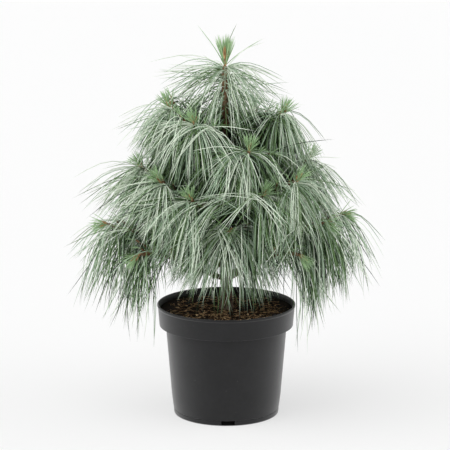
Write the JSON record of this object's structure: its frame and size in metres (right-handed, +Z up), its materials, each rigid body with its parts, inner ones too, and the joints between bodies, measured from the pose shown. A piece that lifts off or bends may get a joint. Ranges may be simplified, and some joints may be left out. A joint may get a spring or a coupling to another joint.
{
  "type": "potted schwerin pine",
  "caption": "Weeping pine with long blue-green needles hanging in tufts from whorled boughs, in a round black nursery pot.",
  "frame": {"origin": "centre of the pot's flat underside, which stands on the ground", "axes": "+Z up through the pot, trunk and leader; +X to the viewer's right and -Y towards the viewer of the picture"},
  "size_m": [0.5403, 0.476, 0.6388],
  "materials": {
    "pot_plastic": "charcoal injection-moulded nursery plastic, satin to matte",
    "soil": "dark moist potting mix with bark and coir chips",
    "bark": "brown scaly bark with ridged needle bases",
    "needles": "soft blue-green needles with a pale bloom"
  },
  "bodies": {
    "root": {"leader_needles": "needles", "lower_bough_back_left": "bark", "lower_bough_back_right": "bark", "lower_bough_front": "bark", "lower_bough_left": "bark", "lower_bough_right": "bark", "lower_bough_right_front": "bark", "lower_needles_back_left": "needles", "lower_needles_back_right": "needles", "lower_needles_front": "needles", "lower_needles_left": "needles", "lower_needles_right": "needles", "lower_needles_right_front": "needles", "lowest_bough_back": "bark", "lowest_bough_left": "bark", "lowest_bough_left_front": "bark", "lowest_bough_right": "bark", "lowest_bough_right_front": "bark", "lowest_needles_back": "needles", "lowest_needles_left": "needles", "lowest_needles_left_front": "needles", "lowest_needles_right": "needles", "lowest_needles_right_front": "needles", "middle_bough_back_left": "bark", "middle_bough_back_right": "bark", "middle_bough_front": "bark", "middle_bough_front_right": "bark", "middle_bough_left": "bark", "middle_bough_left_front": "bark", "middle_bough_right": "bark", "middle_bough_right_front": "bark", "middle_needles_back_left": "needles", "middle_needles_back_right": "needles", "middle_needles_front": "needles", "middle_needles_front_right": "needles", "middle_needles_left": "needles", "middle_needles_left_front": "needles", "middle_needles_right": "needles", "middle_needles_right_front": "needles", "pot": "pot_plastic", "soil": "soil", "top_bough_back_left": "bark", "top_bough_back_right": "bark", "top_bough_front_left": "bark", "top_bough_front_right": "bark", "top_bough_left": "bark", "top_bough_right": "bark", "top_needles_back_left": "needles", "top_needles_back_right": "needles", "top_needles_front_left": "needles", "top_needles_front_right": "needles", "top_needles_left": "needles", "top_needles_right": "needles", "trunk": "bark"}
  },
  "joints": []
}
